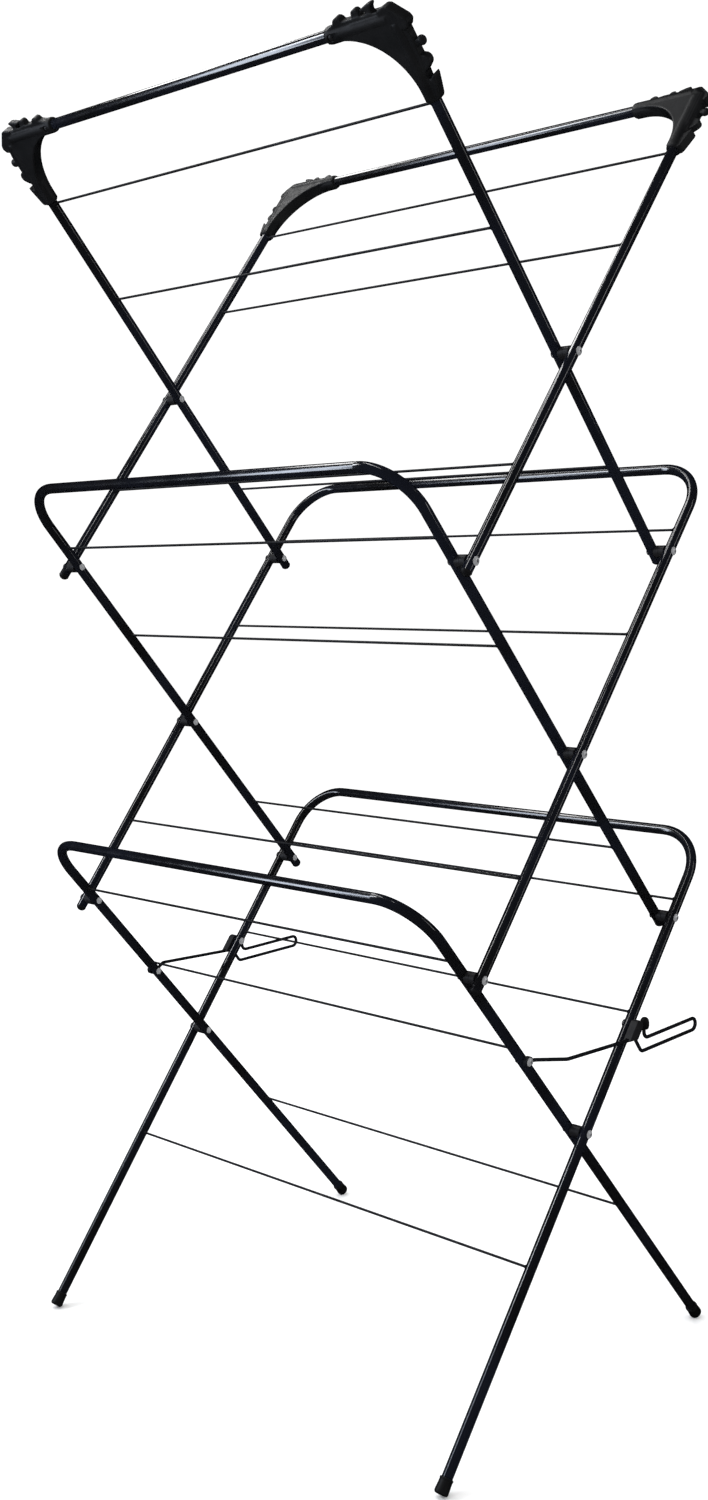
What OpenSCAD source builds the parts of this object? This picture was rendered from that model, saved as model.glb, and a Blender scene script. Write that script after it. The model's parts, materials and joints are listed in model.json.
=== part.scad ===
// Three-tier folding clothes drying rack: six U frames in a scissor stack, wires between
// their legs, and a wire stay on each side that holds the bottom tier open.
// +X is the right side, +Y the back, +Z up. Wide frames lean back, narrow frames lean forward.

/* [Overall] */
// Distance between the leg centrelines of the three wide frames
wide_span = 624; // [560:2:700]
// Sideways step from a wide frame's leg centreline to its narrow partner's
plane_step = 20.5; // [20:0.1:22]
// Lean of every leg from upright when the rack stands open
lean = 39.4; // [36:0.2:42]
// Distance along a leg from its crossing to the linking pivots
arm_reach = 260; // [250:1:270]
// Distance along a bottom leg from its crossing to the end of its foot cap
foot_reach = 382; // [360:1:400]

/* [Tiers: bottom, middle, top] */
// Distance from the crossing up to the bar's centreline
bar_reach = [367, 376, 361]; // [350:1:390]
// Distance from the crossing up to the upper wire
upper_wire = [282, 289, 277]; // [270:1:300]
// Distance from the crossing up to the middle wire
middle_wire = [142, 150, 146]; // [138:1:160]
// Distance from the crossing down to the lower wire
lower_wire = [150, 148, 143]; // [130:1:170]

/* [Tube and wire] */
// Outside diameter of the frame tube
tube_d = 11.5; // [11:0.1:12]
// Wall thickness of the frame tube
tube_wall = 0.7; // [0.6:0.1:1.2]
// Centreline radius of the frame's top bends
bend_r = 54; // [40:1:65]
// Diameter of the drying wires
wire_d = 2.8; // [2:0.1:3]

/* [Pivots] */
// Shank diameter of the pivot rivets
rivet_d = 5; // [4:0.5:6]
// Outside diameter of the saddle washers between the two leg planes
saddle_d = 12.8; // [12.4:0.2:18]
// How far a tube's capped lower end runs past its pivot
end_reach = 17; // [15:0.5:20]

/* [Foot caps] */
// Outside diameter of a foot cap
cap_d = 14.6; // [14:0.2:17]
// Length of a foot cap
cap_length = 18; // [15:1:25]
// Height of the small flat moulded where a foot cap meets the floor
foot_flat = 1.2; // [0.6:0.1:2]

/* [Top corners] */
// Length of a corner moulding along the bar and along the leg
corner_reach = 82; // [76:1:82]
// Outside diameter of the two sockets
socket_d = 16.8; // [15.5:0.1:18]
// Radius of the concave inner edge
gusset_r = 68; // [66:1:72]
// Thickness of the web between the inner edge and the tubes
web_t = 15.6; // [13:0.2:16]
// Thickness of the rim and hooks outside the tubes
hook_t = 8.4; // [7:0.2:10]

/* [Stays] */
// Distance along a narrow bottom leg from the crossing up to the stay's pivot
stay_pivot = 123; // [118:1:128]
// Diameter of the stay's wire
stay_wire_d = 4; // [3.5:0.1:4]
// Slope of the latched stay's arm below level
stay_drop = 3.4; // [3:0.2:6]
// Length of the arm from its pivot to the dip behind the wide leg
stay_arm = 156; // [154:1:160]
// Length of the finger loop's lower side
loop_length = 96; // [80:1:100]
// Distance along a wide bottom leg from the crossing up to the latch rivet
latch_height = 128; // [126:1:132]

/* [Hidden] */

$fn = 48;

paint = "#16171b";
plastic = "#202226";
steel = "#c3c6ca";

narrow_span = wide_span - 2 * plane_step;
tube_r = tube_d / 2;
bore_r = tube_r - tube_wall;
wire_r = wire_d / 2;
rivet_r = rivet_d / 2;
cap_r = cap_d / 2;

fit = 0.05;           // gap round a piece seated in another of the same frame
running = 0.08;       // gap round a rivet in a tube that turns on it
side_gap = 0.3;       // sideways gap between pieces that turn past each other
through = 1;          // overshoot of a cutting tool
bend_lap = 0.3;       // how far a straight runs into a swollen bend

plug_head = 4.6;      // what an end plug adds below the tube's end
plug_stem = 9;
cap_floor = 3;        // thickness of a foot cap below the tube's end
head_r = 4.6;         // rivet head radius and height
head_h = 2.2;
set_head_r = 4;       // the formed head on the other end
set_head_h = 1.7;
hollow_r = 1.5;       // hole in a rivet's round head
hollow_depth = 4;
saddle_grip = 1.8;    // how far a saddle washer wraps round its tube
clip_skin = 3;        // what is left of the clip over the end of its rivet
wire_tail = 1.6;      // how far a wire's end reaches inside its tube
socket_stop = 14;     // from the corner of the two centrelines to a tube's end
screw_in = 74;        // from the leg's centreline to the bar's screw
screw_r = 1.5;
screw_head_r = 3.2;
screw_head_h = 1.6;
screw_sink = 1.4;     // depth of the screw head's seat
hook_shift = 1.6;     // how far the hooks sit from the middle plane, towards the under side

tier_rise = 2 * arm_reach * cos(lean);
crossing_z = foot_reach * cos(lean) + cap_r * sin(lean) - foot_flat;

// A wide leg's planes, measured out from the middle of the rack
narrow_out = narrow_span / 2 + tube_r;
narrow_in = narrow_span / 2 - tube_r;
wide_out = wide_span / 2 + tube_r;
wide_in = wide_span / 2 - tube_r;
mid_gap = (narrow_out + wide_in) / 2;

// Lower tube ends, measured down the leg from the crossing
loose_end = arm_reach + end_reach - plug_head;
foot_end = foot_reach - cap_floor;

// ---------------------------------------------------------------- placing

// Local Z runs up the legs from the crossing of the given tier, local Y is square to the frame
module on_wide(tier) {
    translate([0, 0, crossing_z + tier * tier_rise]) rotate([-lean, 0, 0]) children();
}

module on_narrow(tier) {
    translate([0, 0, crossing_z + tier * tier_rise]) rotate([lean, 0, 0]) children();
}

module both_sides() {
    children();
    mirror([1, 0, 0]) children();
}

// A cylinder along X, centred on the rack, at a height on the frame
module cross_rod(radius, length, height) {
    translate([-length / 2, 0, height]) rotate([0, 90, 0]) cylinder(r = radius, h = length);
}

// ---------------------------------------------------------------- bent rods

// A quarter or other part of a ring that starts upwards at the origin and turns towards +X
module elbow(radius, turn_r, angle) {
    translate([turn_r, 0, 0]) rotate([90, 0, 180])
        rotate_extrude(angle = angle) translate([turn_r, 0]) circle(r = radius);
}

// Each step is [straight length, bend radius, bend angle, direction that the bend turns to].
// With a swell, the bends are that much fatter and the straights lap into them.
module bent_rod(radius, steps, swell, i = 0) {
    straight = steps[i][0];
    turn_r = steps[i][1];
    angle = steps[i][2];
    towards = steps[i][3];
    last = i == len(steps) - 1;
    lap_in = i > 0 && swell > 0 ? bend_lap : 0;
    lap_out = !last && swell > 0 ? bend_lap : 0;
    translate([0, 0, -lap_in]) cylinder(r = radius, h = lap_in + straight + lap_out);
    if (!last)
        translate([0, 0, straight]) rotate([0, 0, towards]) {
            elbow(radius + swell, turn_r, angle);
            translate([turn_r * (1 - cos(angle)), 0, turn_r * sin(angle)])
                rotate([0, angle, 0]) rotate([0, 0, -towards]) bent_rod(radius, steps, swell, i + 1);
        }
}

// The U of a frame, started a little low and ended a little low by extra
module u_rod(radius, span, down, up, extra) {
    leg = down + up - bend_r + extra;
    translate([span / 2, 0, -down - extra])
        bent_rod(radius, [[leg, bend_r, 90, 180], [span - 2 * bend_r, bend_r, 90, 180], [leg, 0, 0, 0]], 0);
}

// ---------------------------------------------------------------- frames and wires

module bent_frame(span, down, tier, pivots) {
    color(paint) difference() {
        u_rod(tube_r, span, down, bar_reach[tier], 0);
        u_rod(bore_r, span, down, bar_reach[tier], through);
        for (height = pivots) cross_rod(rivet_r + running, span + 2 * tube_d, height);
        wire_holes(span, tier);
    }
}

module wire_holes(span, tier) {
    for (height = [upper_wire[tier], middle_wire[tier], -lower_wire[tier]])
        cross_rod(wire_r + fit, span, height);
}

module top_leg(span) {
    length = loose_end + bar_reach[2] - socket_stop;
    color(paint) difference() {
        translate([span / 2, 0, -loose_end]) cylinder(r = tube_r, h = length);
        translate([span / 2, 0, -loose_end - through]) cylinder(r = bore_r, h = length + 2 * through);
        for (height = [0, -arm_reach]) cross_rod(rivet_r + running, span + 2 * tube_d, height);
        wire_holes(span, 2);
    }
}

module top_bar(span) {
    length = span - 2 * socket_stop;
    color(paint) difference() {
        cross_rod(tube_r, length, bar_reach[2]);
        cross_rod(bore_r, length + 2 * through, bar_reach[2]);
        for (side = [-1, 1]) translate([side * (span / 2 - screw_in), 0, bar_reach[2]])
            rotate([90, 0, 0]) cylinder(r = screw_r + fit, h = 4 * tube_d, center = true);
    }
}

module dry_wire(span, height) {
    color(paint) cross_rod(wire_r, span - tube_d + 2 * (tube_wall + wire_tail), height);
}

module wires_of(tier, tier_name) {
    heights = [-lower_wire[tier], middle_wire[tier], upper_wire[tier]];
    levels = ["lower", "middle", "upper"];
    for (i = [0 : 2]) {
        on_wide(tier) dry_wire(wide_span, heights[i]);
        on_narrow(tier) dry_wire(narrow_span, heights[i]);
    }
}

// ---------------------------------------------------------------- caps and plugs

module foot_caps(span) {
    color(plastic) both_sides() translate([span / 2, 0, -foot_reach]) difference() {
        union() {
            cylinder(r = cap_r, h = cap_length);
            translate([0, 0, cap_length - 3]) cylinder(r = cap_r + 0.5, h = 2);
        }
        translate([0, 0, cap_floor]) cylinder(r = tube_r + fit, h = cap_length);
    }
}

// What is below the floor, in the rack's own axes
module below_floor() {
    translate([-wide_span, -wide_span, -100]) cube([2 * wide_span, 2 * wide_span, 100]);
}

module end_plugs(span) {
    color(plastic) both_sides() translate([span / 2, 0, -loose_end]) {
        translate([0, 0, -plug_head / 3]) cylinder(r = bore_r - fit, h = plug_stem + plug_head / 3);
        translate([0, 0, -fit]) mirror([0, 0, 1]) dome(tube_r + 0.3, plug_head - fit);
    }
}

// A round head that stands on z = 0
module dome(radius, height) {
    ball_r = (radius * radius + height * height) / (2 * height);
    rotate_extrude() intersection() {
        translate([0, height - ball_r]) circle(r = ball_r, $fn = 96);
        square([radius, height]);
    }
}

// ---------------------------------------------------------------- pivots

// A rivet along X from inner_x, under its formed head, to outer_x, under its round head
module rivet(inner_x, outer_x) {
    length = outer_x - inner_x;
    translate([inner_x, 0, 0]) rotate([0, 90, 0]) difference() {
        union() {
            cylinder(r = rivet_r, h = length);
            mirror([0, 0, 1]) dome(set_head_r, set_head_h);
            translate([0, 0, length]) dome(head_r, head_h);
        }
        translate([0, 0, length + head_h - hollow_depth]) cylinder(r = hollow_r, h = hollow_depth);
    }
}

module pivot_rivets(heights) {
    color(steel) for (height = heights) both_sides() translate([0, 0, height])
        rivet(narrow_in - 0.15, wide_out + fit);
}

// Washers that sit across the tube at tube_x, with their flats at face_x
module saddles(tube_x, face_x, rivet_gap, heights) {
    toward = sign(face_x - tube_x);
    start_x = tube_x + toward * (tube_r - saddle_grip);
    color(plastic) for (height = heights) both_sides() difference() {
        translate([min(start_x, face_x), 0, height]) rotate([0, 90, 0])
            cylinder(r = saddle_d / 2, h = abs(face_x - start_x));
        translate([tube_x, 0, height - saddle_d]) cylinder(r = tube_r + fit, h = 2 * saddle_d);
        cross_rod(rivet_r + rivet_gap, 2 * wide_span, height);
    }
}

module wide_saddles(heights) {
    saddles(wide_span / 2, mid_gap + side_gap / 2, fit, heights);
}
module narrow_saddles(heights) {
    saddles(narrow_span / 2, mid_gap - side_gap / 2, running, heights);
}

// ---------------------------------------------------------------- top corners

inner_centre = -gusset_r - 5.6;
socket_length = corner_reach - 6;

// The hooks round a corner's outer edge: x out from the leg's centreline, y up from the bar's
module hooks_outline() {
    translate([-61, 9.5]) circle(r = 6);
    translate([-38, 12.3]) circle(r = 5);
    polygon([[-42, 6], [-34, 6], [-34, 12], [-42, 12]]);
    polygon([[-24.5, 6], [-17.5, 6], [-19, 15], [-14.5, 18.8],
             [-17.5, 19.6], [-30, 16.8], [-31.5, 15], [-25, 14]]);
    polygon([[-12, 6], [-12, 10], [-3, 12.4], [1.5, 11],
             [15.4, -2.8], [16.8, -7.4], [12.6, -12.6], [6, -12]]);
    translate([17, -27]) circle(r = 4.8);
    polygon([[6, -30], [16, -30], [16, -24], [6, -24]]);
    translate([12, -44.5]) circle(r = 6.2);
    polygon([[4, -63], [15.8, -57.5], [14, -66], [10, -78], [8, -81], [4, -81]]);
}

module inner_edge() {
    translate([inner_centre, inner_centre]) circle(r = gusset_r, $fn = 96);
}

module web_outline() {
    difference() {
        polygon([[-81, -3], [-66, 2], [-44, 6.5], [-3.5, 6.5], [6.5, -3.5], [6.5, -44], [2, -66], [-3, -81],
                 [-6, -81], [-81, -6]]);
        inner_edge();
    }
}

module rim_outline() {
    difference() {
        polygon([[-80, 6], [-66, 10.4], [-30, 9.6], [-8, 8.6], [8, -8], [11, -18], [11, -36],
                 [6.5, -57], [10.5, -64], [8, -80], [-7, -81], [-81, -7]]);
        inner_edge();
    }
}

// A slab over an outline, its middle shifted along local Y from the plane of the frame
module slab(thickness, shift) {
    rotate([90, 0, 0]) translate([0, 0, -shift - thickness / 2])
        linear_extrude(height = thickness) children();
}

// facing is the side of the frame, along local Y, that the screw goes in from
module corner(span, facing) {
    bore = corner_reach + through - socket_stop + fit;
    color(plastic) translate([span / 2, 0, bar_reach[2]]) difference() {
        union() {
            slab(web_t, 0) web_outline();
            slab(hook_t, facing * hook_shift) rim_outline();
            slab(hook_t, facing * hook_shift) hooks_outline();
            translate([0, 0, -corner_reach]) cylinder(r = socket_d / 2, h = socket_length);
            translate([-corner_reach, 0, 0]) rotate([0, 90, 0])
                cylinder(r = socket_d / 2, h = socket_length);
        }
        translate([0, 0, -corner_reach - through]) cylinder(r = tube_r + fit, h = bore);
        translate([-corner_reach - through, 0, 0]) rotate([0, 90, 0]) cylinder(r = tube_r + fit, h = bore);
        translate([-screw_in, 0, 0]) rotate([-90 * facing, 0, 0]) {
            cylinder(r = screw_r + fit, h = socket_d);
            translate([0, 0, socket_d / 2 - screw_sink]) cylinder(r = screw_head_r + 4 * fit, h = socket_d);
        }
    }
}

module corner_screws(span, facing) {
    screw_seat = socket_d / 2 - screw_sink + fit;
    head_place = [span / 2 - screw_in, 0, bar_reach[2]];
    color(steel) both_sides() translate(head_place) rotate([-90 * facing, 0, 0]) {
        translate([0, 0, bore_r - 1]) cylinder(r = screw_r, h = screw_seat - bore_r + 1);
        translate([0, 0, screw_seat]) dome(screw_head_r, screw_head_h);
    }
}

// ---------------------------------------------------------------- stays and latches

stay_r = stay_wire_d / 2;
eye_r = 5.6;
eye_t = 4.4;
eye_x = narrow_out + side_gap + eye_t / 2;
loop_x = wide_out + 4.2;               // plane of the arm and loop, outside the wide legs
jog_angle = 40;
jog_r = 8;
jog_start = 7;
jog_run = (loop_x - eye_x - 2 * jog_r * (1 - cos(jog_angle))) / sin(jog_angle);
jog_reach = jog_start + 2 * jog_r * sin(jog_angle) + jog_run * cos(jog_angle);
dip_angle = 55;
dip_r = 7;
dip_fall = 14;
loop_r = 6.6;
curl_angle = 88;
curl_r = 7;
curl_end = 15;
wire_start = 4.2;                      // the wire leaves the eye's rim
stay_swell = 0.03;

out = 0;
down = 90;
in = 180;
up = 270;

stay_steps = [
    [jog_start - wire_start, jog_r, jog_angle, out],
    [jog_run, jog_r, jog_angle, in],
    [stay_arm - jog_reach - dip_r * tan((dip_angle - stay_drop) / 2), dip_r, dip_angle - stay_drop, down],
    [dip_fall, dip_r, dip_angle, up],
    [loop_length, loop_r, 180, up],
    [loop_length - 9, curl_r, curl_angle, down],
    [curl_end, 0, 0, 0]
];

// Local axes of a latched stay: origin on its pivot, Z along the arm, X out, Y down
module on_stay() {
    translate([0, -stay_pivot * sin(lean), crossing_z + stay_pivot * cos(lean)])
        rotate([-90 - stay_drop, 0, 0]) children();
}

module stay() {
    color(paint) on_stay() {
        difference() {
            translate([eye_x - eye_t / 2, 0, 0]) rotate([0, 90, 0]) cylinder(r = eye_r, h = eye_t);
            cross_rod(rivet_r + running, 2 * wide_span, 0);
        }
        translate([eye_x, 0, wire_start]) bent_rod(stay_r, stay_steps, stay_swell);
    }
}

// The same path as the stay's wire, walked without drawing, for what sits on its end
module at_stay_end(i = 0) {
    if (i == len(stay_steps)) children();
    else {
        straight = stay_steps[i][0];
        turn_r = stay_steps[i][1];
        angle = stay_steps[i][2];
        towards = stay_steps[i][3];
        translate([0, 0, straight]) rotate([0, 0, towards])
            translate([turn_r * (1 - cos(angle)), 0, turn_r * sin(angle)])
                rotate([0, angle, 0]) rotate([0, 0, -towards]) at_stay_end(i + 1) children();
    }
}

tip_r = 3.7;
tip_length = 12.5;

module stay_tip() {
    color(plastic) on_stay() translate([eye_x, 0, wire_start]) at_stay_end()
        translate([0, 0, 1.5 - tip_length]) difference() {
            union() {
                cylinder(r = tip_r, h = tip_length - 2.5);
                translate([0, 0, tip_length - 2.5]) dome(tip_r, 2.5);
            }
            translate([0, 0, -through]) cylinder(r = stay_r + fit, h = tip_length - 1.5 + through + fit);
        }
}

module stay_rivets() {
    color(steel) both_sides() on_narrow(0) translate([0, 0, stay_pivot])
        rivet(narrow_in - fit, eye_x + eye_t / 2 + 0.15);
}

clip_r = 6.4;
clip_out = wide_out + 8.5;
clip_wall = 2.5;                       // how far the clip's cheeks reach below the wire's top

// Side view of the clip in the frame's local Y and Z
module clip_side() {
    translate([0, latch_height]) circle(r = clip_r);
    translate([-clip_r, latch_height - 45]) square([2 * clip_r, 45]);
}

// Everything below a line that runs along the latched arm, depth below the arm's centreline
module under_arm(depth, from_x, to_x) {
    on_stay() translate([from_x, depth, 0]) cube([to_x - from_x, 80, 2 * stay_arm]);
}

module latch_clip() {
    color(plastic) difference() {
        on_wide(0) translate([wide_out + fit, 0, 0]) rotate([90, 0, 90])
            linear_extrude(height = clip_out - wide_out - fit) clip_side();
        under_arm(clip_wall - stay_r, 0, wide_span);
        under_arm(-stay_r - 0.25, loop_x - stay_r - side_gap, loop_x + stay_r + side_gap);
        on_wide(0) cross_rod(rivet_r + fit, 2 * (clip_out - clip_skin + fit), latch_height);
    }
}

module latch_rivets() {
    color(steel) both_sides() on_wide(0) translate([wide_in - fit, 0, latch_height]) rotate([0, 90, 0]) {
        cylinder(r = rivet_r, h = clip_out - clip_skin - wide_in + fit);
        mirror([0, 0, 1]) dome(head_r, head_h);
    }
}

// ---------------------------------------------------------------- the nodes

on_wide(0) bent_frame(wide_span, foot_end, 0, [0, arm_reach, latch_height]);  // bottom_wide_frame
on_narrow(0) bent_frame(narrow_span, foot_end, 0, [0, arm_reach, stay_pivot]);  // bottom_narrow_frame
on_wide(1) bent_frame(wide_span, loose_end, 1, [0, arm_reach, -arm_reach]);  // middle_wide_frame
on_narrow(1) bent_frame(narrow_span, loose_end, 1, [0, arm_reach, -arm_reach]);  // middle_narrow_frame

on_wide(2) top_leg(wide_span);  // top_wide_leg_right
on_wide(2) mirror([1, 0, 0]) top_leg(wide_span);  // top_wide_leg_left
on_wide(2) top_bar(wide_span);  // top_wide_bar
on_narrow(2) top_leg(narrow_span);  // top_narrow_leg_right
on_narrow(2) mirror([1, 0, 0]) top_leg(narrow_span);  // top_narrow_leg_left
on_narrow(2) top_bar(narrow_span);  // top_narrow_bar

on_wide(2) corner(wide_span, 1);  // corner_wide_right
on_wide(2) mirror([1, 0, 0]) corner(wide_span, 1);  // corner_wide_left
on_narrow(2) corner(narrow_span, -1);  // corner_narrow_right
on_narrow(2) mirror([1, 0, 0]) corner(narrow_span, -1);  // corner_narrow_left
on_wide(2) corner_screws(wide_span, 1);  // corner_screws_wide
on_narrow(2) corner_screws(narrow_span, -1);  // corner_screws_narrow

difference() {  // foot_caps_wide
    on_wide(0) foot_caps(wide_span);
    below_floor();
}
difference() {  // foot_caps_narrow
    on_narrow(0) foot_caps(narrow_span);
    below_floor();
}
on_wide(1) end_plugs(wide_span);  // end_plugs_middle_wide
on_narrow(1) end_plugs(narrow_span);  // end_plugs_middle_narrow
on_wide(2) end_plugs(wide_span);  // end_plugs_top_wide
on_narrow(2) end_plugs(narrow_span);  // end_plugs_top_narrow

on_wide(0) wide_saddles([0, arm_reach]);  // saddles_bottom_wide
on_wide(1) wide_saddles([-arm_reach, 0, arm_reach]);  // saddles_middle_wide
on_wide(2) wide_saddles([-arm_reach, 0]);  // saddles_top_wide
on_narrow(0) narrow_saddles([0, arm_reach]);  // saddles_bottom_narrow
on_narrow(1) narrow_saddles([-arm_reach, 0, arm_reach]);  // saddles_middle_narrow
on_narrow(2) narrow_saddles([-arm_reach, 0]);  // saddles_top_narrow
on_wide(0) pivot_rivets([0, arm_reach]);  // pivot_rivets_bottom
on_wide(1) pivot_rivets([-arm_reach, 0, arm_reach]);  // pivot_rivets_middle
on_wide(2) pivot_rivets([-arm_reach, 0]);  // pivot_rivets_top

stay();  // stay_right
mirror([1, 0, 0]) stay();  // stay_left
stay_tip();  // stay_tip_right
mirror([1, 0, 0]) stay_tip();  // stay_tip_left
stay_rivets();
latch_clip();  // latch_clip_right
mirror([1, 0, 0]) latch_clip();  // latch_clip_left
latch_rivets();

wires_of(0, "bottom");
wires_of(1, "middle");
wires_of(2, "top");
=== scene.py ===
"""The look of the clothes drying rack: finishes, detailed mouldings, floor, lights and camera."""

import json
import math

import bmesh
import bpy
from mathutils import Matrix, Vector


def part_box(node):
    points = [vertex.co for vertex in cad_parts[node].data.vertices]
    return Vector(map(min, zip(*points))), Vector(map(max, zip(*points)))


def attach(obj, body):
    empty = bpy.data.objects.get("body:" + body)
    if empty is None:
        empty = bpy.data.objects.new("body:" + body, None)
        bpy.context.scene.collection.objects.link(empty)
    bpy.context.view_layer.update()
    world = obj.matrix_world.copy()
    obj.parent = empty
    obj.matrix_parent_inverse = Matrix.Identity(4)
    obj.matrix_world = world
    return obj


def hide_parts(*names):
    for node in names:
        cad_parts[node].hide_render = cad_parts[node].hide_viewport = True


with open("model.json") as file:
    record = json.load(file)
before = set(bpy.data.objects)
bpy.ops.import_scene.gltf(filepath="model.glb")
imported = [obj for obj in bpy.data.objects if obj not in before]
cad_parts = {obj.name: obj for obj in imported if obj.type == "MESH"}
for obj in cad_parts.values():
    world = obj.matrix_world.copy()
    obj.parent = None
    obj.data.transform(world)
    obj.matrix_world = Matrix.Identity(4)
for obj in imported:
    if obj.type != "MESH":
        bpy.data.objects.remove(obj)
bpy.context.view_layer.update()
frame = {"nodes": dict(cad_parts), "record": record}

MM = 0.001
TIERS = ("bottom", "middle", "top")
KINDS = ("wide", "narrow")
SIDES = {"right": 1, "left": -1}

# ------------------------------------------------------------------ node helpers


def new_material(name):
    """A node material and its Principled shader."""
    material = bpy.data.materials.new(name)
    material.use_nodes = True
    return material, material.node_tree.nodes["Principled BSDF"]


def noise(material, scale, detail, stretch=(1, 1, 1)):
    """Noise in the object's own metres; stretch squeezes it along an axis."""
    tree = material.node_tree
    place = tree.nodes.new("ShaderNodeTexCoord")
    mapping = tree.nodes.new("ShaderNodeMapping")
    mapping.inputs["Scale"].default_value = stretch
    texture = tree.nodes.new("ShaderNodeTexNoise")
    texture.inputs["Scale"].default_value = scale
    texture.inputs["Detail"].default_value = detail
    tree.links.new(place.outputs["Object"], mapping.inputs["Vector"])
    tree.links.new(mapping.outputs["Vector"], texture.inputs["Vector"])
    return texture.outputs["Fac"]


def spread(material, value, low, high):
    """value, stretched so that its middle range runs from low to high."""
    tree = material.node_tree
    node = tree.nodes.new("ShaderNodeMapRange")
    node.inputs["From Min"].default_value = 0.3
    node.inputs["From Max"].default_value = 0.7
    node.inputs["To Min"].default_value = low
    node.inputs["To Max"].default_value = high
    tree.links.new(value, node.inputs["Value"])
    return node.outputs["Result"]


def blend_colour(material, value, dark, light):
    """A colour between dark and light as value goes from 0.35 to 0.65."""
    tree = material.node_tree
    node = tree.nodes.new("ShaderNodeValToRGB")
    node.color_ramp.elements[0].position = 0.35
    node.color_ramp.elements[0].color = (*dark, 1)
    node.color_ramp.elements[1].position = 0.65
    node.color_ramp.elements[1].color = (*light, 1)
    tree.links.new(value, node.inputs["Fac"])
    return node.outputs["Color"]


def bump(material, shader, heights):
    """Bumps stacked in order; each is (height output, strength, distance in metres)."""
    tree = material.node_tree
    last = None
    for height, strength, distance in heights:
        node = tree.nodes.new("ShaderNodeBump")
        node.inputs["Strength"].default_value = strength
        node.inputs["Distance"].default_value = distance
        tree.links.new(height, node.inputs["Height"])
        if last:
            tree.links.new(last, node.inputs["Normal"])
        last = node.outputs["Normal"]
    tree.links.new(last, shader.inputs["Normal"])


def worn_edges(material, colour, rub, amount):
    """colour, turning to rub on the sharpest convex edges."""
    tree = material.node_tree
    geometry = tree.nodes.new("ShaderNodeNewGeometry")
    ramp = tree.nodes.new("ShaderNodeMapRange")
    ramp.inputs["From Min"].default_value = 0.53
    ramp.inputs["From Max"].default_value = 0.62
    ramp.inputs["To Max"].default_value = amount
    mix = tree.nodes.new("ShaderNodeMix")
    mix.data_type = "RGBA"
    mix.inputs["B"].default_value = (*rub, 1)
    tree.links.new(geometry.outputs["Pointiness"], ramp.inputs["Value"])
    tree.links.new(ramp.outputs["Result"], mix.inputs["Factor"])
    tree.links.new(colour, mix.inputs["A"])
    return mix.outputs["Result"]


# ------------------------------------------------------------------ finishes
# Noise scales are per metre: a larger one is a finer pattern.

COAT_BLACK = (0.0035, 0.0035, 0.004)
# The lighter, bluer colour is a painted reflection of cool light, not a tint of the coat; noise lays it
# over the black in random patches
PAINTED_BLUE_REFLECTION = (0.0055, 0.0065, 0.0105)


def coated_steel(name, peel_scale, roughness, coat, shine):
    """Black powder coat: orange peel, a painted bluish reflection in random patches over the black,
    uneven gloss.
    """
    material, shader = new_material(name)
    links = material.node_tree.links
    # Random patches where the painted bluish reflection shows over the black
    blue_reflection_patches = noise(material, 9, 3)
    colour = blend_colour(material, blue_reflection_patches, COAT_BLACK, PAINTED_BLUE_REFLECTION)
    links.new(colour, shader.inputs["Base Color"])
    smears = noise(material, 60, 3)
    links.new(spread(material, smears, *roughness), shader.inputs["Roughness"])
    shader.inputs["Specular IOR Level"].default_value = shine
    shader.inputs["Coat Weight"].default_value = coat
    shader.inputs["Coat Roughness"].default_value = 0.06
    peel = noise(material, peel_scale, 2)
    dust = noise(material, peel_scale * 6, 3)
    bump(material, shader, [(peel, 0.008, 0.0001), (dust, 0.003, 0.00003)])
    return material


def moulded_plastic(name, dark, light, roughness, shine):
    """Satin moulded plastic: fine spark grain, soft flow marks, paler rubbed edges."""
    material, shader = new_material(name)
    links = material.node_tree.links
    flow = noise(material, 28, 4)
    colour = blend_colour(material, flow, dark, light)
    rubbed = tuple(3 * c for c in light)
    links.new(worn_edges(material, colour, rubbed, 0.5), shader.inputs["Base Color"])
    patches = noise(material, 90, 5)
    links.new(spread(material, patches, *roughness), shader.inputs["Roughness"])
    shader.inputs["Specular IOR Level"].default_value = shine
    grain = noise(material, 2600, 2)
    ripple = noise(material, 170, 2)
    bump(material, shader, [(grain, 0.05, 0.00004), (ripple, 0.04, 0.0002)])
    return material


def zinc_steel(name, tint, metallic, roughness):
    """Plated steel with fine turning marks and dull patches."""
    material, shader = new_material(name)
    links = material.node_tree.links
    dull = noise(material, 420, 5)
    darker = tuple(c * 0.72 for c in tint)
    links.new(blend_colour(material, dull, darker, tint), shader.inputs["Base Color"])
    shader.inputs["Metallic"].default_value = metallic
    marks = noise(material, 900, 6)
    links.new(spread(material, marks, *roughness), shader.inputs["Roughness"])
    turned = noise(material, 1500, 3, stretch=(3, 1, 1))
    bump(material, shader, [(turned, 0.12, 0.00005)])
    return material


tube_coat = coated_steel("tube_powder_coat", peel_scale=380, roughness=(0.1, 0.16), coat=0.3, shine=0.5)
wire_coat = coated_steel("wire_powder_coat", peel_scale=900, roughness=(0.42, 0.58), coat=0, shine=0.2)
corner_plastic = moulded_plastic(
    "corner_plastic",
    dark=(0.0036, 0.004, 0.005),
    light=(0.0062, 0.0066, 0.008),
    roughness=(0.42, 0.56),
    shine=0.28,
)
cap_plastic = moulded_plastic(
    "cap_plastic",
    dark=(0.0026, 0.0026, 0.003),
    light=(0.005, 0.005, 0.0058),
    roughness=(0.40, 0.54),
    shine=0.22,
)
rivet_zinc = zinc_steel("rivet_zinc", (0.62, 0.63, 0.65), metallic=0.6, roughness=(0.24, 0.40))
screw_black = zinc_steel("screw_black_oxide", (0.02, 0.02, 0.022), metallic=0.6, roughness=(0.35, 0.5))

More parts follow.
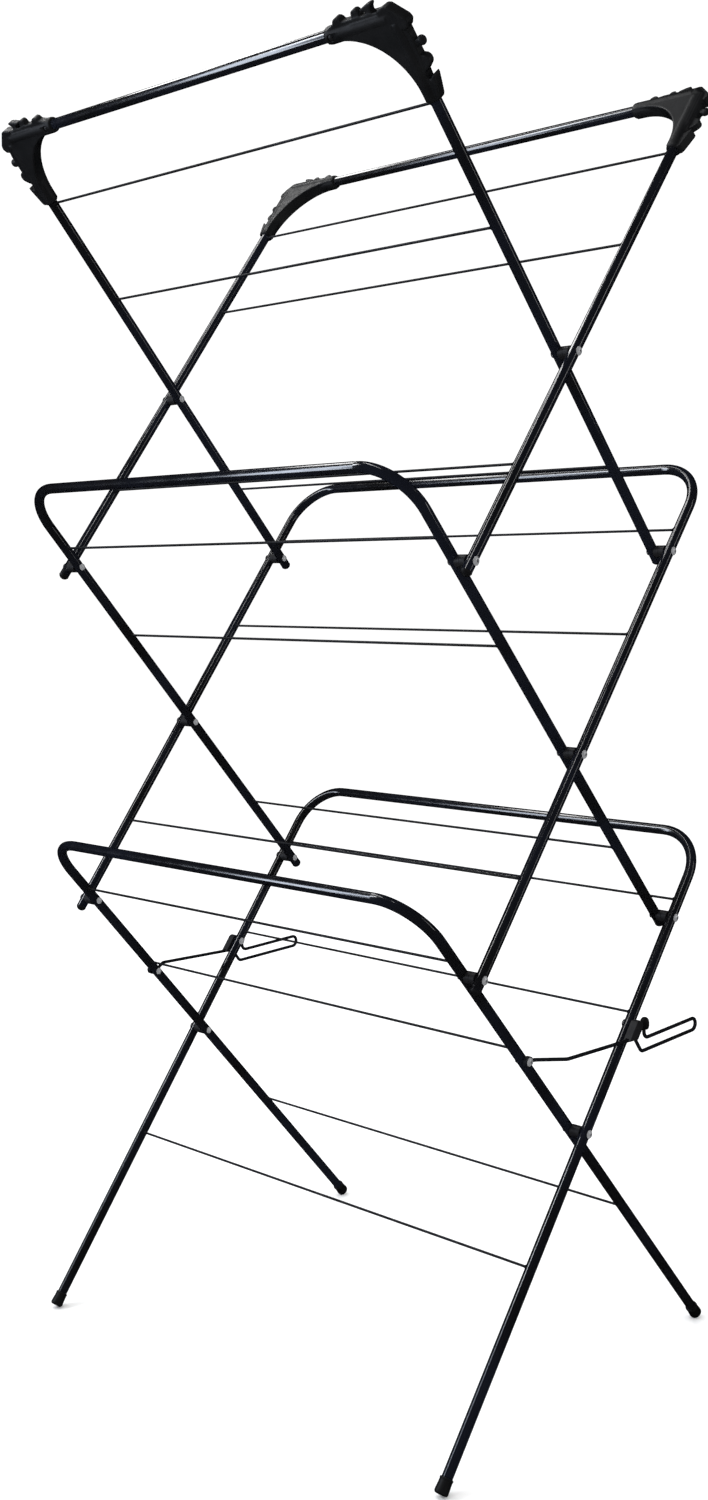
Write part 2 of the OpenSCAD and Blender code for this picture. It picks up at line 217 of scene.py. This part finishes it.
FINISHES = {
    "painted_tube": tube_coat,
    "painted_wire": wire_coat,
    "black_plastic": cap_plastic,
    "rivet_steel": rivet_zinc,
}
for part in frame["record"]["subparts"]:
    node = frame["nodes"][part["node"]]
    node.data.materials.clear()
    node.data.materials.append(FINISHES[part["material_slot"]])
    if "screws" in part["node"]:
        node.data.materials[0] = screw_black

# ------------------------------------------------------------------ where things are


def centre(node):
    """The middle of a node's box."""
    low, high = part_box(node)
    return (low + high) / 2


def leg_frame(tier, kind):
    """Origin on the middle wire, and unit vectors up the legs and square to the frame."""
    low = centre(f"wire_{tier}_{kind}_lower")
    high = centre(f"wire_{tier}_{kind}_upper")
    up = (high - low).normalized()
    square = Vector((1, 0, 0)).cross(up)
    return centre(f"wire_{tier}_{kind}_middle"), up, square


def axes(origin, x, y, z):
    """A matrix that puts local x, y, z along these vectors at origin."""
    turn = Matrix((x, y, z)).transposed().to_4x4()
    return Matrix.Translation(origin) @ turn


# ------------------------------------------------------------------ mesh helpers


def object_from(bm, name, material):
    """A smooth-shaded object made from bm, which is freed."""
    mesh = bpy.data.meshes.new(name)
    bmesh.ops.recalc_face_normals(bm, faces=bm.faces)
    bm.to_mesh(mesh)
    bm.free()
    mesh.materials.append(material)
    for face in mesh.polygons:
        face.use_smooth = True
    piece = bpy.data.objects.new(name, mesh)
    bpy.context.scene.collection.objects.link(piece)
    return piece


def baked(piece):
    """Turns the piece's modifiers into its mesh."""
    graph = bpy.context.evaluated_depsgraph_get()
    mesh = bpy.data.meshes.new_from_object(piece.evaluated_get(graph))
    piece.modifiers.clear()
    piece.data = mesh
    for face in mesh.polygons:
        face.use_smooth = True


def plate(bm, outline, thickness, shift):
    """A slab over an outline in x and y, its middle at z = shift."""
    bottom = [bm.verts.new((x, y, shift - thickness / 2)) for x, y in outline]
    top = [bm.verts.new((x, y, shift + thickness / 2)) for x, y in outline]
    bm.faces.new(bottom)
    bm.faces.new(top[::-1])
    for i in range(len(outline)):
        j = (i + 1) % len(outline)
        bm.faces.new((bottom[i], bottom[j], top[j], top[i]))


def lathe(bm, profile, place, segments=40):
    """Turns a closed profile of (radius, height) about local z; place is a matrix."""
    rings = []
    for radius, height in profile:
        ring = []
        for k in range(segments):
            angle = 2 * math.pi * k / segments
            point = Vector((radius * math.cos(angle), radius * math.sin(angle), height))
            ring.append(bm.verts.new(place @ point))
        rings.append(ring)
    for a, b in zip(rings, rings[1:]):
        for k in range(segments):
            n = (k + 1) % segments
            bm.faces.new((a[k], a[n], b[n], b[k]))
    bm.faces.new(rings[0])
    bm.faces.new(rings[-1][::-1])


def arc(x, y, radius, start, stop, steps):
    """Points round a circle from start to stop degrees."""
    angles = [math.radians(start + (stop - start) * k / steps) for k in range(steps + 1)]
    return [(x + radius * math.cos(a), y + radius * math.sin(a)) for a in angles]


# ------------------------------------------------------------------ corner mouldings
# Millimetres, x out from the leg's centreline, y up from the bar's, z through the frame.

INNER_EDGE = -5.6   # how far the web reaches inside the tubes' centrelines at its ends
GUSSET_R = 68       # radius and centre of the concave inner edge
GUSSET_C = INNER_EDGE - GUSSET_R
SOCKET_R = 8.4
SOCKET_START = 6    # the sockets, measured out from the corner of the two tubes
SOCKET_END = 82
SCREW_IN = -74      # place, radius and depth of the screw's seat in the bar's socket
SEAT_R = 3.5
SEAT_DEPTH = 1.4
SEAT_CUT = 6
UNDER = {"wide": -1, "narrow": 1}  # which face of a leaning frame is its under side

# The web is a stack of slabs (thickness, reach outside the tubes' centrelines): thick in the
# middle of the moulding and thinner towards its rim
WEB_STEPS = [(15.2, 3.5), (14, 5.6), (12.4, 7.4), (10.6, 9)]
WEB_MOUTH = 8.5     # how far the web draws in at the mouths of the sockets
RIM_T = 9           # thicknesses
HOOK_T = 7.6
TAB_T = 10.4
PAD_T = 11.4
STEM_T = 5.6
HOOK_SHIFT = 1.6    # how far the hooks sit towards the under side

# The bar side's guard and round hook, as (x, y, radius), and the leg side's post
GUARD = (-61, 8.8, 6)
ROUND_HOOK = (-38, 12, 4.8)
ROUND_HOOK_STEM = [(-42.2, 6), (-33.8, 6), (-33.6, 12), (-42.4, 12)]
POST = (17, -27, 4.9)
POST_STEM = [(6, -30), (16, -29.6), (16, -24.4), (6, -24)]

VOXEL = 0.7         # grain of the weld, its smoothing, and the share of faces kept
WELD_SOFTNESS = 0.5
WELD_PASSES = 8
FACES_KEPT = 0.4


def web_outline(reach):
    """The web between the inner edge and a line that runs reach outside the tubes' centrelines."""
    inner = arc(GUSSET_C, GUSSET_C, GUSSET_R, 90, 0, 40)
    mouth = reach - WEB_MOUTH
    leg_side = [(INNER_EDGE, -80), (mouth, -80), (reach - 3.5, -66), (reach, -46), (reach, -3)]
    bar_side = [(y, x) for x, y in reversed(leg_side)]
    return inner + leg_side + bar_side


def rim_outline():
    """The thinner border that carries the hooks."""
    leg_side = [(8, -80), (10.5, -64), (6.5, -57), (11, -36), (11, -18), (8, -8)]
    bar_side = [(-8, 8.6), (-30, 9.6), (-66, 10.4), (-80, 6)]
    return [(-80, 0), (-6, -6), (0, -80)] + leg_side + bar_side


def mushroom_outline():
    """The hook that leans in over its notch."""
    stem_and_lip = [(-25.5, 6), (-18.6, 6), (-19.2, 10), (-18.6, 13), (-15.6, 16.2), (-16.2, 17.6)]
    top = [(-19.4, 17.8), (-24, 16.8), (-30, 15), (-31, 13.8)]
    throat = [(-29.6, 13), (-26.6, 12.2), (-25.4, 10)]
    return stem_and_lip + top + throat


def pad_outline():
    """The flat across the corner."""
    bar_end = [(-12, 5), (-12.2, 9.4), (-3.4, 11.8), (0.6, 10.8)]
    leg_end = [(14.4, -3.2), (15.6, -7.4), (12, -12.6), (5, -12)]
    return bar_end + leg_end


def tab_outline():
    """The guard below the last notch, tapering down the leg."""
    lip = [(3, -63.4), (10.6, -60.4), (15.4, -56.8), (15.8, -59.6)]
    taper = [(13.2, -69), (10.2, -79), (8.2, -81.6), (3, -81.6)]
    return lip + taper


def second_hook_outline():
    """The round-nosed hook on the leg side."""
    top = arc(12, -44.5, 6, 70, -60, 10)
    return [(5, -37.5), (10.3, -37.8)] + top + [(10.6, -53), (5, -54)]


def socket(bm, place):
    """A sleeve with a rounded mouth; local z runs out of the corner."""
    mouth = [(SOCKET_R, SOCKET_END - 4), (SOCKET_R - 0.5, SOCKET_END - 1), (SOCKET_R - 1.8, SOCKET_END)]
    lathe(bm, [(SOCKET_R, SOCKET_START)] + mouth, place, 48)


def knob(bm, x, y, z, radius):
    """A round-ended post."""
    angles = [math.radians(angle) for angle in range(-80, 90, 20)]
    profile = [(radius * math.cos(a), (radius * 0.8) * math.sin(a)) for a in angles]
    lathe(bm, profile, Matrix.Translation((x, y, z)), 28)


def disc(x, y, radius):
    """A round outline."""
    return arc(x, y, radius, 0, 345, 22)


def moulding_plates(shift):
    """The plates, sockets and post that are welded into one moulding; shift moves its hooks."""
    bm = bmesh.new()
    for thickness, reach in WEB_STEPS:
        plate(bm, web_outline(reach), thickness, 0)
    plate(bm, rim_outline(), RIM_T, shift)
    plate(bm, pad_outline(), PAD_T, shift)
    plate(bm, mushroom_outline(), HOOK_T, shift)
    plate(bm, tab_outline(), TAB_T, shift / 2)
    plate(bm, second_hook_outline(), HOOK_T, shift)
    plate(bm, disc(*GUARD), RIM_T, shift)
    plate(bm, disc(*ROUND_HOOK), HOOK_T, shift)
    plate(bm, ROUND_HOOK_STEM, HOOK_T, shift)
    x, y, radius = POST
    knob(bm, x, y, shift, radius)
    plate(bm, POST_STEM, STEM_T, shift)
    socket(bm, Matrix.Rotation(math.pi / 2, 4, "X"))
    socket(bm, Matrix.Rotation(-math.pi / 2, 4, "Y"))
    return bm


def corner_moulding(kind, side):
    """One moulding, welded from its plates by a voxel remesh that rounds every join."""
    name = f"corner_{kind}_{side}"
    out = SIDES[side]
    bm = moulding_plates(UNDER[kind] * HOOK_SHIFT)
    piece = object_from(bm, f"moulding_{kind}_{side}", corner_plastic)
    remesh = piece.modifiers.new("weld", "REMESH")
    remesh.mode = "VOXEL"
    remesh.voxel_size = VOXEL
    soften = piece.modifiers.new("soften", "SMOOTH")
    soften.factor = WELD_SOFTNESS
    soften.iterations = WELD_PASSES
    baked(piece)
    cut_screw_seat(piece, UNDER[kind])
    thin = piece.modifiers.new("thin", "DECIMATE")
    thin.ratio = FACES_KEPT
    baked(piece)
    bar = centre(f"top_{kind}_bar")
    leg = centre(f"top_{kind}_leg_{side}")
    _, up, square = leg_frame("top", kind)
    origin = Vector((leg.x, bar.y, bar.z))
    piece.data.transform(axes(origin, Vector((out, 0, 0)), up, square) @ Matrix.Scale(MM, 4))
    if out > 0:
        piece.data.flip_normals()
    piece.data.update()
    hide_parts(name)
    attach(piece, f"top_{kind}")


def cut_screw_seat(piece, facing):
    """Sinks the screw's seat into the bar's socket."""
    bm = bmesh.new()
    floor_of_seat = Matrix.Translation((SCREW_IN, 0, facing * (SOCKET_R - SEAT_DEPTH)))
    seat = floor_of_seat @ Matrix.Scale(facing, 4, (0, 0, 1))
    lathe(bm, [(SEAT_R, 0), (SEAT_R, SEAT_CUT)], seat, 32)
    cutter = object_from(bm, "cutter", corner_plastic)
    cut = piece.modifiers.new("cut", "BOOLEAN")
    cut.operation = "DIFFERENCE"
    cut.object = cutter
    baked(piece)
    bpy.data.objects.remove(cutter)


for kind in KINDS:
    for side in SIDES:
        corner_moulding(kind, side)

# ------------------------------------------------------------------ foot caps

# From the middle wire down the leg to the sole; the caps are turned from (radius, height) profiles
WIRE_TO_SOLE = 524
CAP_SOLE = [(4.6, 0.3), (6.4, 0.9), (7.3, 2.4), (7.35, 4)]
CAP_WALL = [(7.0, 9), (6.75, 14.6)]
CAP_LIP = [(7.1, 15), (7.2, 15.6), (7.1, 16.4), (6.6, 16.9), (5.8, 17)]
CAP_EDGE = 0.3


def foot_cap(kind, side):
    """A tapered cap with a rolled lip and a rounded sole, cut flat where it meets the floor."""
    wire_spot, up, square = leg_frame("bottom", kind)
    leg_x = centre(f"top_{kind}_leg_{side}").x
    sole = Vector((leg_x, wire_spot.y, wire_spot.z)) - up * WIRE_TO_SOLE * MM
    bm = bmesh.new()
    place = axes(sole, Vector((1, 0, 0)), square, up) @ Matrix.Scale(MM, 4)
    lathe(bm, CAP_SOLE + CAP_WALL + CAP_LIP, place, 56)
    cut = bmesh.ops.bisect_plane(
        bm,
        geom=bm.verts[:] + bm.edges[:] + bm.faces[:],
        plane_co=(0, 0, 0),
        plane_no=(0, 0, -1),
        clear_outer=True,
    )
    rim = [item for item in cut["geom_cut"] if isinstance(item, bmesh.types.BMEdge)]
    bmesh.ops.holes_fill(bm, edges=rim, sides=0)
    piece = object_from(bm, f"foot_cap_{kind}_{side}", cap_plastic)
    soft_edges(piece, CAP_EDGE)
    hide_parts(f"foot_caps_{kind}")
    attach(piece, f"bottom_{kind}")


def soft_edges(piece, width):
    """Rounds the sharp edges of a piece and shades the rest smooth."""
    bevel = piece.modifiers.new("soft_edges", "BEVEL")
    bevel.width = width * MM
    bevel.segments = 3
    bevel.limit_method = "ANGLE"
    bevel.angle_limit = math.radians(40)
    bevel.harden_normals = True


for kind in KINDS:
    for side in SIDES:
        foot_cap(kind, side)

# ------------------------------------------------------------------ small parts

# Nodes whose moulded edges are rounded, by the start of their names
EDGE_WIDTHS = {"saddles": 0.5, "latch_clip": 0.8, "end_plugs": 0.3}
for node_name, node in frame["nodes"].items():
    for start, width in EDGE_WIDTHS.items():
        if node_name.startswith(start):
            soft_edges(node, width)

# The bulb on the free end of each stay, set off to the side away from the frame
BULB_LOWER = [(2.2, -6.6), (3.6, -6.2), (4.4, -5), (4.9, -3), (5.0, -0.5)]
BULB_UPPER = [(4.9, 2), (4.4, 4.2), (3.5, 5.7), (2.2, 6.6), (0.8, 7)]
BULB_OUT = 1.2


def stay_bulb(side):
    """An egg-shaped bulb round the end of the stay's wire."""
    spot = centre(f"stay_tip_{side}") + Vector((SIDES[side] * BULB_OUT * MM, 0, 0))
    bm = bmesh.new()
    lathe(bm, BULB_LOWER + BULB_UPPER, Matrix.Translation(spot) @ Matrix.Scale(MM, 4), 40)
    piece = object_from(bm, f"stay_bulb_{side}", cap_plastic)
    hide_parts(f"stay_tip_{side}")
    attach(piece, f"{side}_stay")


for side in SIDES:
    stay_bulb(side)

# Each wire is brazed where it enters its tube: a small fillet round it, turned from
# (radius, height above the tube). The tail is the length of wire past the tube's face.
WIRE_TAIL = 2.3
BRAZE_PROFILE = [(2.9, -0.5), (2.8, 0.1), (2.2, 0.7), (1.7, 1.7), (1.4, 3)]


def brazed_ends(tier, kind):
    """The fillets at both ends of a frame's three wires."""
    bm = bmesh.new()
    for level in ("lower", "middle", "upper"):
        low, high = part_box(f"wire_{tier}_{kind}_{level}")
        spot = (low + high) / 2
        for out in SIDES.values():
            inner_face = high.x - WIRE_TAIL * MM
            turn = Matrix.Rotation(-out * math.pi / 2, 4, "Y")
            place = Matrix.Translation((out * inner_face, spot.y, spot.z)) @ turn @ Matrix.Scale(MM, 4)
            lathe(bm, BRAZE_PROFILE, place, 24)
    piece = object_from(bm, f"brazed_ends_{tier}_{kind}", wire_coat)
    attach(piece, f"{tier}_{kind}")


for tier in TIERS:
    for kind in KINDS:
        brazed_ends(tier, kind)

# ------------------------------------------------------------------ floor, light, camera

FLOOR_HALF = 14
FLOOR_GREYS = ((0.93, 0.93, 0.93), (0.95, 0.95, 0.95))
WHITE = (1, 1, 1)
COOL = (0.78, 0.86, 1)
WORLD_STRENGTH = 1.1

# The camera's place in metres, its turn in degrees and its lens in millimetres
CAMERA_SPOT = Vector((1.3263, -1.3761, 0.9280))
AZIMUTH = math.radians(44.127)
TILT = math.radians(7.277)
ROLL = math.radians(-1.764)
LENS = 40.23
SENSOR = 36


def pale_floor():
    """A wide matt floor that shows only in the soft shadows of the feet."""
    h = FLOOR_HALF
    mesh = bpy.data.meshes.new("floor")
    mesh.from_pydata([(-h, -h, 0), (h, -h, 0), (h, h, 0), (-h, h, 0)], [], [(0, 1, 2, 3)])
    floor = bpy.data.objects.new("floor", mesh)
    bpy.context.scene.collection.objects.link(floor)
    paint, shader = new_material("floor_paint")
    grain = noise(paint, 3, 4)
    paint.node_tree.links.new(blend_colour(paint, grain, *FLOOR_GREYS), shader.inputs["Base Color"])
    shader.inputs["Roughness"].default_value = 0.9
    shader.inputs["Specular IOR Level"].default_value = 0
    mesh.materials.append(paint)
    floor.visible_glossy = False


def area_light(name, place, aim, size, power, colour=WHITE):
    """A rectangular light at place, turned to aim; metres and watts."""
    data = bpy.data.lights.new(name, "AREA")
    data.shape = "RECTANGLE"
    data.size, data.size_y = size
    data.energy = power
    data.color = colour
    light = bpy.data.objects.new(name, data)
    light.location = place
    light.rotation_euler = (Vector(aim) - Vector(place)).to_track_quat("-Z", "Y").to_euler()
    bpy.context.scene.collection.objects.link(light)


def studio_world():
    """White all round, but left out of reflections, so that only the lights show in the gloss."""
    world = bpy.data.worlds.new("studio")
    bpy.context.scene.world = world
    world.use_nodes = True
    backdrop = world.node_tree.nodes["Background"]
    backdrop.inputs["Color"].default_value = (*WHITE, 1)
    backdrop.inputs["Strength"].default_value = WORLD_STRENGTH
    world.cycles_visibility.glossy = False


def place_camera():
    """Points the camera by azimuth and tilt, then rolls it about its line of sight."""
    flat = math.cos(TILT)
    forward = Vector((-math.sin(AZIMUTH) * flat, math.cos(AZIMUTH) * flat, -math.sin(TILT)))
    level = Vector((math.cos(AZIMUTH), math.sin(AZIMUTH), 0))
    upright = level.cross(forward)
    right = level * math.cos(ROLL) + upright * math.sin(ROLL)
    up = upright * math.cos(ROLL) - level * math.sin(ROLL)
    data = bpy.data.cameras.new("camera")
    data.lens = LENS
    data.sensor_width = SENSOR
    camera = bpy.data.objects.new("camera", data)
    camera.matrix_world = axes(CAMERA_SPOT, right, up, -forward)
    bpy.context.scene.collection.objects.link(camera)
    bpy.context.scene.camera = camera


pale_floor()
area_light("key", (-1.9, -2.2, 1.6), (0, 0, 0.75), (0.3, 2.8), 32, COOL)
area_light("high_left", (-2.2, -2.3, 3.4), (0, 0, 0.5), (0.35, 1.4), 24)
area_light("side", (2.6, 1.2, 1.5), (0, 0, 0.8), (0.15, 2.4), 5)
area_light("overhead", (-0.7, -0.6, 3.4), (-0.3, 0, 0.5), (3.2, 0.14), 16)
area_light("ceiling_left", (-1.75, 0.1, 3.0), (0, 0, 1.1), (1.5, 0.2), 10)
studio_world()
place_camera()
bpy.context.scene.view_settings.view_transform = "Standard"
